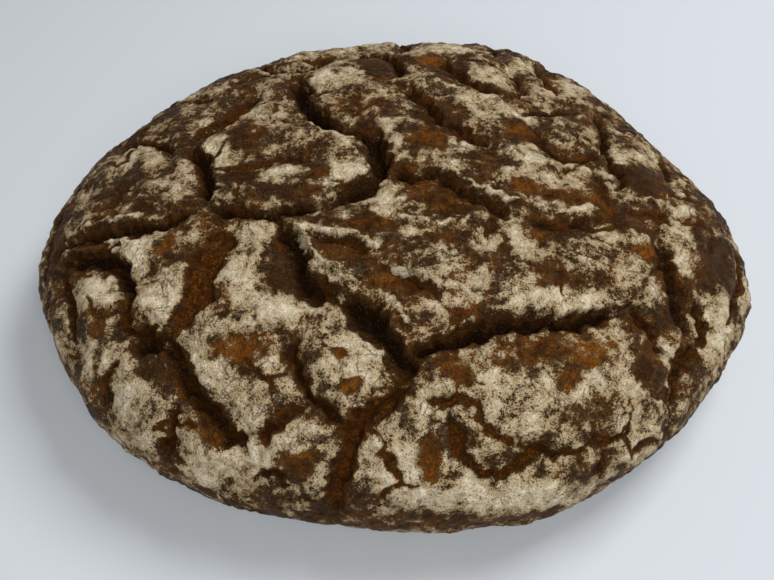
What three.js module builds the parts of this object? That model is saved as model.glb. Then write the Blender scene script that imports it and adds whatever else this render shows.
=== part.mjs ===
// A farmhouse rye loaf, baked free on the oven floor: a low dome with rounded shoulders and a flat base.
// Its crust has torn into plates, and the fissures between them are carved along curves drawn on the crust.
// Units are millimetres, +Z is up, +X is the long way, and the base stands on z = 0.
import * as THREE from "three";

// Driving dimensions of the dome.
const HALF_LENGTH = 165;
const HALF_WIDTH = 147;
const HEIGHT = 86;
const WAIST_HEIGHT = 31; // the widest line's height above the base
const BASE_SHARE = 0.88; // the base outline over the widest outline
const DOME_POWER = 2.2; // 2 is an ellipse, and more makes fuller shoulders

// A hand-shaped loaf isn't a true oval: each lobe is [waves round the outline, cosine part, sine part].
const OUTLINE_LOBES = [
  [3, -0.013, -0.0235],
  [4, 0.008, -0.0095],
  [5, 0.0085, -0.005],
  [6, 0.013, -0.0025],
];

// Mesh fineness.
const TOP_RINGS = 24; // square rings from the crown to the shoulder
const SIDE_RINGS = 12; // rings from the shoulder down to the base
const SHOULDER_SHARE = 0.68; // where the shoulder starts, as a share of the way from crown to base

const DOME_POINTS = 200; // points along the profile above the waist
const FOOT_POINTS = 100; // and below it

// Crust relief.
const PLATE_CROWN = 3; // how far the middle of a plate stands above its edges
const CROWN_REACH = 12; // distance over which a plate rises from its edge
const FISSURE_SHOULDER = 3; // extra half width over which a fissure's edge rolls in
const TROUGH_POWER = 1.5; // above 1 the trough is narrower at its floor than a cosine's
const RELIEF_ENDS = 0.8; // share of the way to the base where the relief starts to fade
const CURVE_STEP = 3; // spacing of the points that stand for a fissure's curve

const CRUST_COLOUR = 0x5a4636;

// The fissures: [half width, depth, points along it]. The points are on the crust map, which lays the crust
// out flat from the crown: x to the right, y to the back, both measured along the crust. The last eight run
// round and down the back and the ends.
const FISSURES = {
  backGap: [4.5, 13, [[-50, 78], [-46, 66], [-43, 54], [-39, 43], [-31, 31], [-24, 24]]],
  keyhole: [4.5, 12, [[-24, 24], [-15, 23], [-9, 17], [-6.5, 8], [-7, -2], [-14, -14], [-30, -24]]],
  middleLeft: [6, 9, [[-30, -24], [-43, -26], [-56, -27], [-68, -24], [-82, -20]]],
  westDrop: [5, 11, [[-97, 27], [-93, 18], [-88, 9], [-85, 0], [-83, -9], [-84, -19]]],
  middleRight: [3.5, 9, [[-5, -3], [10, -6], [18, -5], [26, -12], [36, -19], [46, -25], [57, -29]]],
  rightLip: [3, 6, [[57, -29], [68, -33], [79, -31], [87, -27], [94, -24]]],
  centreDrop: [3, 6, [[44, -25], [43, -34], [41, -44]]],
  wedge: [5, 11, [[-50, -30], [-42, -42], [-37, -53], [-36, -62], [-24, -71]]],
  fang: [5, 13, [[-24, -71], [-13, -75], [-6, -82], [1, -92], [5, -100], [6, -108]]],
  longGap: [4.5, 14, [[5, -96], [14, -95], [24, -91], [46, -84], [60, -81], [75, -79], [98, -70]]],
  frontDrop: [5, 10, [[6, -108], [-5, -118], [-13, -122], [-18, -133], [-22, -145], [-28, -163]]],
  pillowValley: [3.5, 8, [[-38, -84], [-40, -92], [-39, -100], [-30, -114], [-16, -124]]],
  pillowFoot: [2.5, 5, [[-58, -132], [-51, -127], [-45, -121], [-31, -114]]],
  westHook: [4, 9, [[-158, -26], [-145, -24], [-134, -24.5], [-124, -27], [-107, -27], [-86, -22]]],
  westArch: [4.5, 10, [[-155, -36], [-137, -35], [-122, -42], [-114, -57], [-113, -75], [-110, -82]]],
  grainGap: [7, 9, [[-68, -32], [-74, -41], [-79, -52], [-83, -68], [-95, -83]]],
  southWest: [5, 11, [[-112, -81], [-96, -86], [-89, -97], [-80, -112], [-60, -134]]],
  southWestSpur: [3, 7, [[-83, -113], [-92, -115], [-98, -128], [-101, -137]]],
  westRim: [3, 5, [[-156, -38], [-150, -50], [-146, -66], [-147, -78]]],
  westLow: [2.5, 5, [[-118, -86], [-126, -97], [-128, -110]]],
  northWestBand: [3.5, 8, [[-140, 41], [-122, 38], [-109, 28], [-105, 18]]],
  northWestWide: [5.5, 8, [[-98, 29], [-82, 40], [-73, 56], [-70, 67]]],
  backWest: [2.5, 6, [[-108, 82], [-99, 71], [-91, 67]]],
  backDark: [4.5, 9, [[-82, 82], [-63, 91], [-46, 86], [-33, 105], [-26, 110]]],
  backKeyhole: [5, 10, [[-24, 107], [-6, 102], [4.5, 88], [3, 72]]],
  firstStep: [3, 8, [[4, 64], [14, 49], [26, 33], [45, 13]]],
  secondStep: [3.5, 8, [[27, 97], [30, 80], [46, 63], [58, 57]]],
  thirdStep: [2.5, 5, [[61, 89], [65, 70], [60, 56]]],
  backNotch: [5, 9, [[58, 132], [57, 120], [56, 106]]],
  orangeSlot: [2.5, 6, [[80, 102], [84, 80], [84, 67]]],
  eastDrop: [4, 10, [[108, 65], [105, 40], [103.5, 24], [106, 6], [105, -5]]],
  buttonBelow: [2.5, 6, [[67, 32], [74, 15], [84, 11], [98, 20], [102, 28]]],
  buttonAbove: [3, 6, [[62, 44], [76, 46], [92, 59]]],
  eastBand: [3.5, 7, [[139, 41], [137, 24], [134, 9]]],
  eastFall: [5, 11, [[120, -33], [122, -46], [127, -65], [131, -76]]],
  eastRim: [3, 8, [[136, -53], [138.5, -74], [128, -86], [123.5, -97], [126, -113]]],
  southEastFork: [3, 6, [[97, -65], [112, -81], [120, -89]]],
  frontArc: [3.5, 7, [[21, -119], [29, -136], [43, -143], [60, -133], [79, -133], [84, -128]]],
  frontSteps: [2.5, 5, [[83, -119], [86, -128], [98, -124], [101, -117]]],
  frontSlot: [2.5, 6, [[90, -131], [91, -141], [97, -149]]],
  backRimWest: [4, 7, [[-138, 84], [-112, 106], [-84, 116], [-52, 133], [-24, 134]]],
  backRimMiddle: [4, 7, [[-24, 134], [4, 141], [30, 137], [57, 142], [84, 126]]],
  backRimEast: [4, 7, [[112, 112], [124, 92], [143, 70], [152, 48]]],
  backFallWest: [3.5, 7, [[-64, 93], [-71, 108], [-68, 124]]],
  backFallMiddle: [3.5, 7, [[2, 104], [9, 120], [3, 139], [9, 158]]],
  backFallEast: [3.5, 7, [[84, 104], [93, 120], [101, 134]]],
  eastRimLow: [3.5, 6, [[158, 34], [170, 8], [172, -18], [166, -44], [158, -66]]],
  westRimLow: [3.5, 6, [[-166, 30], [-172, 4], [-170, -22], [-174, -44]]],
};

// How far the outline swells at an angle round the loaf.
function outlineSwell(angle) {
  let swell = 1;
  for (const [waves, cosine, sine] of OUTLINE_LOBES) {
    swell += cosine * Math.cos(waves * angle) + sine * Math.sin(waves * angle);
  }
  return swell;
}

// The half profile as [share of full radius, height], from the crown out to the waist and in to the base.
function halfProfile() {
  const crownToWaist = new Array(DOME_POINTS).fill(0).map((_, i) => {
    const turn = (i / DOME_POINTS) * (Math.PI / 2);
    const rise = (HEIGHT - WAIST_HEIGHT) * Math.cos(turn);
    return [Math.sin(turn) ** (2 / DOME_POWER), WAIST_HEIGHT + rise];
  });
  const waistToBase = new Array(FOOT_POINTS + 1).fill(0).map((_, i) => {
    const turn = (i / FOOT_POINTS) * (Math.PI / 2);
    return [BASE_SHARE + (1 - BASE_SHARE) * Math.cos(turn), WAIST_HEIGHT * (1 - Math.sin(turn))];
  });
  return [...crownToWaist, ...waistToBase];
}

const PROFILE = halfProfile();
const MEAN_RADIUS = (HALF_LENGTH + HALF_WIDTH) / 2;

// Length along the crust from the crown to each profile point.
const PROFILE_LENGTHS = PROFILE.reduce((lengths, [radius, height], i) => {
  if (i === 0) return [0];
  const [lastRadius, lastHeight] = PROFILE[i - 1];
  const step = Math.hypot((radius - lastRadius) * MEAN_RADIUS, height - lastHeight);
  return [...lengths, lengths[i - 1] + step];
}, []);
const CRUST_LENGTH = PROFILE_LENGTHS[PROFILE_LENGTHS.length - 1];

// The profile's [share of full radius, height] at a share of the way from crown to base.
function profileAt(share) {
  const length = Math.min(share, 1) * CRUST_LENGTH;
  const after = Math.max(1, PROFILE_LENGTHS.findIndex((reached) => reached >= length));
  const part = (length - PROFILE_LENGTHS[after - 1]) / (PROFILE_LENGTHS[after] - PROFILE_LENGTHS[after - 1]);
  return [0, 1].map((axis) => THREE.MathUtils.lerp(PROFILE[after - 1][axis], PROFILE[after][axis], part));
}

// The place in space of a crust map point, before any relief.
function onCrust(x, y) {
  const across = (x * MEAN_RADIUS) / HALF_LENGTH;
  const along = (y * MEAN_RADIUS) / HALF_WIDTH;
  const angle = Math.atan2(along, across);
  const swell = outlineSwell(angle);
  const [radius, height] = profileAt(Math.hypot(across, along) / (CRUST_LENGTH * swell));
  const long = HALF_LENGTH * radius * swell * Math.cos(angle);
  const wide = HALF_WIDTH * radius * swell * Math.sin(angle);
  return new THREE.Vector3(long, wide, height);
}

// The crust map point that far from crown to base, at an angle round the loaf.
function toCrustMap(share, angle) {
  const reach = share * CRUST_LENGTH * outlineSwell(angle);
  return [
    (reach * Math.cos(angle) * HALF_LENGTH) / MEAN_RADIUS,
    (reach * Math.sin(angle) * HALF_WIDTH) / MEAN_RADIUS,
  ];
}

// The way out of the crust at a crust map point.
function outward(x, y) {
  const step = 0.5;
  const eastward = onCrust(x + step, y).sub(onCrust(x - step, y));
  const northward = onCrust(x, y + step).sub(onCrust(x, y - step));
  return eastward.cross(northward).normalize();
}

const fissureCurves = Object.values(FISSURES).map(([halfWidth, depth, points]) => {
  const curve = new THREE.SplineCurve(points.map(([x, y]) => new THREE.Vector2(x, y)));
  return { halfWidth, depth, points: curve.getSpacedPoints(Math.ceil(curve.getLength() / CURVE_STEP)) };
});

// The distance from a point to the nearest stretch of a curve given by its points.
function distanceToCurve(place, points) {
  let nearest = Infinity;
  for (let i = 1; i < points.length; i++) {
    const stretch = points[i].clone().sub(points[i - 1]);
    const fromStart = place.clone().sub(points[i - 1]);
    const part = THREE.MathUtils.clamp(fromStart.dot(stretch) / stretch.lengthSq(), 0, 1);
    nearest = Math.min(nearest, fromStart.sub(stretch.multiplyScalar(part)).length());
  }
  return nearest;
}

// How far the finished crust stands out from the plain dome at a crust map point: the plates crown up
// between the fissures, and each fissure is a rounded trough.
function relief(x, y) {
  const place = new THREE.Vector2(x, y);
  let trough = 0;
  let plateRoom = Infinity;
  for (const { halfWidth, depth, points } of fissureCurves) {
    const distance = distanceToCurve(place, points);
    const reach = halfWidth + FISSURE_SHOULDER;
    plateRoom = Math.min(plateRoom, distance - halfWidth);
    if (distance < reach) {
      const openness = Math.cos((distance / reach) * (Math.PI / 2)) ** TROUGH_POWER;
      trough = Math.max(trough, depth * openness);
    }
  }
  const crown = PLATE_CROWN * (1 - Math.exp(-Math.max(plateRoom, 0) / CROWN_REACH));
  return crown - PLATE_CROWN / 2 - trough;
}

// A square grid laid over the dome: a point of the square, -1 to 1 each way, becomes a share of the way to
// the square's edge and an angle, so each square ring of the grid is one level round the loaf.
function squareToRing(a, b) {
  const share = Math.max(Math.abs(a), Math.abs(b));
  if (share === 0) return [0, 0];
  const eighth = Math.PI / 4;
  if (Math.abs(a) >= Math.abs(b)) return [share, (a > 0 ? 0 : Math.PI) + eighth * (b / a)];
  return [share, (b > 0 ? 2 : -2) * eighth - eighth * (a / b)];
}

// The finished crust's place and relief at a share of the way from crown to base, at an angle round the loaf.
function crustVertex(share, angle) {
  const [x, y] = toCrustMap(share, angle);
  const place = onCrust(x, y);
  if (share >= 1) return { place: place.setZ(0), stand: 0 };
  const stand = relief(x, y) * (1 - THREE.MathUtils.smoothstep(share, RELIEF_ENDS, 1));
  return { place: place.addScaledVector(outward(x, y), stand), stand };
}

function loafGeometry() {
  const vertices = [];
  const faces = [];
  const addVertex = (vertex) => vertices.push(vertex) - 1;

  // A quad folds along the diagonal whose ends stand most alike, so a fissure's edge isn't cut into teeth.
  const fold = (a, b) => Math.abs(vertices[a].stand - vertices[b].stand);
  const addQuad = (a, b, c, d) => {
    if (fold(a, c) <= fold(b, d)) faces.push(a, b, c, a, c, d);
    else faces.push(b, c, d, b, d, a);
  };

  // The top, from the crown to the shoulder.
  const side = 2 * TOP_RINGS;
  const top = [];
  for (let row = 0; row <= side; row++) {
    top.push([]);
    for (let column = 0; column <= side; column++) {
      const [share, angle] = squareToRing(column / TOP_RINGS - 1, row / TOP_RINGS - 1);
      top[row].push(addVertex(crustVertex(share * SHOULDER_SHARE, angle)));
    }
  }
  for (let row = 0; row < side; row++) {
    for (let column = 0; column < side; column++) {
      addQuad(top[row][column], top[row][column + 1], top[row + 1][column + 1], top[row + 1][column]);
    }
  }

  // The top's edge in order round the loaf, starting at the corner between +X and -Y.
  const edgeAngle = (step) => (Math.PI / 4) * (step / TOP_RINGS - 1);
  let ring = [];
  for (let i = 0; i < side; i++) ring.push(top[i][side]);
  for (let i = 0; i < side; i++) ring.push(top[side][side - i]);
  for (let i = 0; i < side; i++) ring.push(top[side - i][0]);
  for (let i = 0; i < side; i++) ring.push(top[0][i]);

  // The side, ring by ring down to the base.
  for (let level = 1; level <= SIDE_RINGS; level++) {
    const share = THREE.MathUtils.lerp(SHOULDER_SHARE, 1, level / SIDE_RINGS);
    const below = ring.map((_, step) => addVertex(crustVertex(share, edgeAngle(step))));
    ring.forEach((_, i) => {
      const next = (i + 1) % ring.length;
      addQuad(below[i], below[next], ring[next], ring[i]);
    });
    ring = below;
  }

  // The flat base, as a fan about its middle.
  const baseMiddle = addVertex({ place: new THREE.Vector3(0, 0, 0), stand: 0 });
  ring.forEach((_, i) => faces.push(baseMiddle, ring[(i + 1) % ring.length], ring[i]));

  const geometry = new THREE.BufferGeometry();
  geometry.setFromPoints(vertices.map(({ place }) => place)).setIndex(faces);
  geometry.computeBoundingBox();
  const middle = geometry.boundingBox.getCenter(new THREE.Vector3());
  geometry.translate(-middle.x, -middle.y, 0);
  geometry.computeVertexNormals();
  return geometry;
}

const crust = new THREE.MeshStandardMaterial({ color: CRUST_COLOUR, roughness: 0.8, metalness: 0 });
const loaf = new THREE.Mesh(loafGeometry(), crust);
loaf.name = "loaf";

const ryeLoaf = new THREE.Group();
ryeLoaf.add(loaf);

export default ryeLoaf;
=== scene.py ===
# %% [markdown]
# # A rye loaf baked on the oven floor
#
# A farmhouse rye loaf is a low dome of dough. It is dusted with flour, left to rise and pushed into a hot
# oven with no tin round it. The skin dries while the inside still swells, so the crust tears into plates.
# The plates keep their flour, and the tears show bare, rough crumb baked brown.
#
# This script makes that crust in Blender, as one closed mesh with nearly 300,000 faces. It starts by
# loading the plain model that the rest of the work is measured against. That model has the loaf's real size
# and stays as it is, and the detailed loaf takes its place in the picture.

import bpy
import numpy as np
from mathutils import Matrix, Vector


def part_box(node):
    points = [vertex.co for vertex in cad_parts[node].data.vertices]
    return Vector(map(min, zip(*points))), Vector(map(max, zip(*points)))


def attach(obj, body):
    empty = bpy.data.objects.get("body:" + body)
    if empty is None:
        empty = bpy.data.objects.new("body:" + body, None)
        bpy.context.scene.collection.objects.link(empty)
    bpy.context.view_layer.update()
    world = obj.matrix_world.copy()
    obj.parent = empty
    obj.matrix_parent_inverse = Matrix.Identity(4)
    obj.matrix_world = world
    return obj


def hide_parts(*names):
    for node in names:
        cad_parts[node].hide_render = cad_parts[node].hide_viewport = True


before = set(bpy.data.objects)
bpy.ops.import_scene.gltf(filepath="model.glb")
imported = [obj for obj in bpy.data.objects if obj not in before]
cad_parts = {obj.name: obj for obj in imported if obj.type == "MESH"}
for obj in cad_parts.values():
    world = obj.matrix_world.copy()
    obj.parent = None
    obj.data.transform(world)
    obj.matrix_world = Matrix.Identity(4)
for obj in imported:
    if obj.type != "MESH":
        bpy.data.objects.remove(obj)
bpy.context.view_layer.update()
MM = 0.001
box_low, box_high = (np.array(corner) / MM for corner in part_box("loaf"))
print("plain loaf:", (box_high - box_low).round(1), "mm")

# %% [markdown]
# ## The dome
#
# A loaf shaped by hand isn't a true oval. A subdivided sphere pulled about by hand would do, but its size
# would be hard to hold to. Here the outline is an ellipse whose radius swells and shrinks a little as it
# goes round, in four waves. The half profile is a fuller curve than an ellipse down to the waist, and then
# turns in to the base. The half length and half width come from the plain model's box, so the two loaves
# agree.

# %% The outline and the profile
# Each wave of the outline: how many times it goes round, and its cosine and sine parts.
OUTLINE_WAVES = [(3, -0.013, -0.0235), (4, 0.008, -0.0095), (5, 0.0085, -0.005), (6, 0.013, -0.0025)]
WAIST_SHARE = 0.36  # height of the widest line, as a share of the whole height
BASE_SHARE = 0.88  # the base outline over the widest outline
DOME_POWER = 2.2  # 2 is an ellipse, and more makes fuller shoulders
PLATE_CROWN = 2.6  # how far the middle of a plate stands above its edges, in mm


def outline_swell(angle):
    """How far the outline swells at an angle round the loaf."""
    swell = np.ones_like(angle)
    for waves, cosine, sine in OUTLINE_WAVES:
        swell += cosine * np.cos(waves * angle) + sine * np.sin(waves * angle)
    return swell


once_round = np.linspace(0, 2 * np.pi, 1441)
outline = outline_swell(once_round) * np.stack([np.cos(once_round), np.sin(once_round)])
length, width, HEIGHT = box_high - box_low
HALF_LENGTH = (length - PLATE_CROWN) / np.ptp(outline[0])
HALF_WIDTH = (width - PLATE_CROWN) / np.ptp(outline[1])
MEAN_RADIUS = (HALF_LENGTH + HALF_WIDTH) / 2
outline_middle = (outline.max(axis=1) + outline.min(axis=1)) / 2
MIDDLE = np.array([HALF_LENGTH * outline_middle[0], HALF_WIDTH * outline_middle[1], 0.0])

turn = np.linspace(0, np.pi / 2, 400)
waist = WAIST_SHARE * HEIGHT
below = turn[1:]
dome_radius, foot_radius = np.sin(turn) ** (2 / DOME_POWER), BASE_SHARE + (1 - BASE_SHARE) * np.cos(below)
dome_height, foot_height = waist + (HEIGHT - waist) * np.cos(turn), waist * (1 - np.sin(below))
profile_radius = np.concatenate([dome_radius, foot_radius])
profile_height = np.concatenate([dome_height, foot_height])
profile_steps = np.hypot(np.diff(profile_radius) * MEAN_RADIUS, np.diff(profile_height))
profile_length = np.concatenate([[0], np.cumsum(profile_steps)])
CRUST_LENGTH = profile_length[-1]
print("half length %.1f, half width %.1f, crown to base %.1f mm" % (HALF_LENGTH, HALF_WIDTH, CRUST_LENGTH))

# %% [markdown]
# ## The crust map
#
# Everything on the crust is placed on a flat map of it, as if the skin were peeled off and spread out: x to
# the right and y to the back, both in millimetres measured along the crust from the crown. Fissures could
# be sculpted on the dome by hand, but on a map each is drawn with a few points and is easy to move. One
# function gives the map point at a share of the way down at some angle, one carries a map point to its
# place on the dome, and one gives the way out of the crust there, by crossing two short steps along it.


# %% From the map to the dome
def to_map(share, angle):
    """The map point at a share of the way from crown to base, at an angle round the loaf."""
    reach = share * CRUST_LENGTH * outline_swell(angle) / MEAN_RADIUS
    return reach * np.cos(angle) * HALF_LENGTH, reach * np.sin(angle) * HALF_WIDTH


def on_dome(x, y):
    """The place in space of a map point, in mm, on the plain dome."""
    across, along = x * MEAN_RADIUS / HALF_LENGTH, y * MEAN_RADIUS / HALF_WIDTH
    angle = np.arctan2(along, across)
    swell = outline_swell(angle)
    reach = np.minimum(np.hypot(across, along) / swell, CRUST_LENGTH)
    radius = np.interp(reach, profile_length, profile_radius) * swell
    height = np.interp(reach, profile_length, profile_height)
    east, north = HALF_LENGTH * radius * np.cos(angle), HALF_WIDTH * radius * np.sin(angle)
    return np.stack([east, north, height], axis=-1) - MIDDLE


def outward(x, y, step=0.6):
    """The direction straight out of the plain dome at a map point."""
    east = on_dome(x + step, y) - on_dome(x - step, y)
    north = on_dome(x, y + step) - on_dome(x, y - step)
    out = np.cross(east, north)
    return out / np.linalg.norm(out, axis=-1, keepdims=True)


# %% [markdown]
# ## A square grid on a round dome
#
# The crust needs points about 0.7 mm apart everywhere. Rings round the crown would crowd at the middle, so
# the dome wears a square grid instead: each square ring of the grid is bent into one level of the loaf.
# Below the shoulder the outermost ring simply repeats, level by level, down to the base.

# %% The grid of crust points
TOP_RINGS = 200
SIDE_RINGS = 80
SHOULDER_SHARE = 0.68  # where the square grid ends and the level rings begin


def square_to_ring(a, b):
    """A point of the square, -1 to 1 each way, as a share of the way to its edge and an angle."""
    share = np.maximum(np.abs(a), np.abs(b))
    safe = np.where(share > 0, share, 1)
    flat = np.abs(a) >= np.abs(b)
    sideways = np.where(a > 0, 0, np.pi) + np.pi / 4 * b / np.where(flat, np.where(a == 0, 1, a), safe)
    upright = np.where(b > 0, np.pi / 2, -np.pi / 2) - np.pi / 4 * a / np.where(flat, safe, b)
    return share, np.where(share == 0, 0, np.where(flat, sideways, upright))


grid_side = 2 * TOP_RINGS + 1
grid_line = np.linspace(-1, 1, grid_side)
grid_a, grid_b = (grid.ravel() for grid in np.meshgrid(grid_line, grid_line))
top_number = np.arange(grid_side**2).reshape(grid_side, grid_side)
right_side, far_side = top_number[:-1, -1], top_number[-1, :0:-1]
left_side, near_side = top_number[:0:-1, 0], top_number[0, :-1]
rim = np.concatenate([right_side, far_side, left_side, near_side])
rim_count = len(rim)
side_share = np.linspace(SHOULDER_SHARE, 1, SIDE_RINGS + 1)[1:]

square_a = np.concatenate([grid_a * SHOULDER_SHARE, np.outer(side_share, grid_a[rim]).ravel()])
square_b = np.concatenate([grid_b * SHOULDER_SHARE, np.outer(side_share, grid_b[rim]).ravel()])
crust_share, crust_angle = square_to_ring(square_a, square_b)
map_x, map_y = to_map(crust_share, crust_angle)
print(len(map_x), "crust points")

# %% [markdown]
# ## Noise
#
# Baked crust has no smooth inch, so most of this loaf is made of noise: smooth random bumps of a chosen
# size. Blender's own noise is for shaders, and the mesh is made with numpy, so the two kinds used here are
# written out. One is gradient noise, which gives soft hills. The other scatters cells, and gives each point
# its distance to the nearest cell's middle and to the border with the next, for grains and for fine cracks.
# Both take a seed, so the loaf is the same each time.


# %% Two kinds of noise
def hills(x, y, size, seed):
    """Soft hills about `size` mm apart, from about -1 to 1."""
    lean = seed * 0.7
    u = (x * np.cos(lean) - y * np.sin(lean)) / size + 100 + seed * 3.7
    v = (x * np.sin(lean) + y * np.cos(lean)) / size + 100 + seed * 5.3
    slopes = np.random.default_rng(seed).random((256, 256)) * 2 * np.pi
    i, j = np.floor(u).astype(int), np.floor(v).astype(int)
    u, v = u - i, v - j

    def corner(right, up):
        slope = slopes[(i + right) % 256, (j + up) % 256]
        return np.cos(slope) * (u - right) + np.sin(slope) * (v - up)

    fade_u, fade_v = (part**3 * (part * (part * 6 - 15) + 10) for part in (u, v))
    low = corner(0, 0) * (1 - fade_u) + corner(1, 0) * fade_u
    high = corner(0, 1) * (1 - fade_u) + corner(1, 1) * fade_u
    return 1.6 * (low * (1 - fade_v) + high * fade_v)


def rough_hills(x, y, size, seed, layers=3):
    """Hills with smaller hills on them, each layer half the size and about half the height."""
    total = sum(hills(x, y, size / 2**layer, seed + 31 * layer) / 1.8**layer for layer in range(layers))
    return total / 1.4


def bend(x, y, waves):
    """The map points, pushed about by hills: each wave is its reach in mm, its size, and a seed each way."""
    bent_x, bent_y = x, y
    for reach, size, seed_x, seed_y in waves:
        bent_x = bent_x + reach * hills(x, y, size, seed_x)
        bent_y = bent_y + reach * hills(x, y, size, seed_y)
    return bent_x, bent_y


def cells(x, y, size, seed):
    """Distance to the nearest cell's middle and to its border, over `size`, and the cell's own number."""
    scatter = np.random.default_rng(seed).random((3, 128, 128))
    u, v = x / size + 300, y / size + 300
    i, j = np.floor(u).astype(int), np.floor(v).astype(int)
    nearest = np.full(x.shape, 9.0)
    second = np.full(x.shape, 9.0)
    number = np.zeros(x.shape)
    for right in (-1, 0, 1):
        for up in (-1, 0, 1):
            across, along = (i + right) % 128, (j + up) % 128
            middle_u, middle_v = i + right + scatter[0, across, along], j + up + scatter[1, across, along]
            gap = np.hypot(middle_u - u, middle_v - v)
            closer = gap < nearest
            second = np.where(closer, nearest, np.minimum(second, gap))
            number = np.where(closer, scatter[2, across, along], number)
            nearest = np.where(closer, gap, nearest)
    return nearest, (second - nearest) / 2, number
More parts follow.
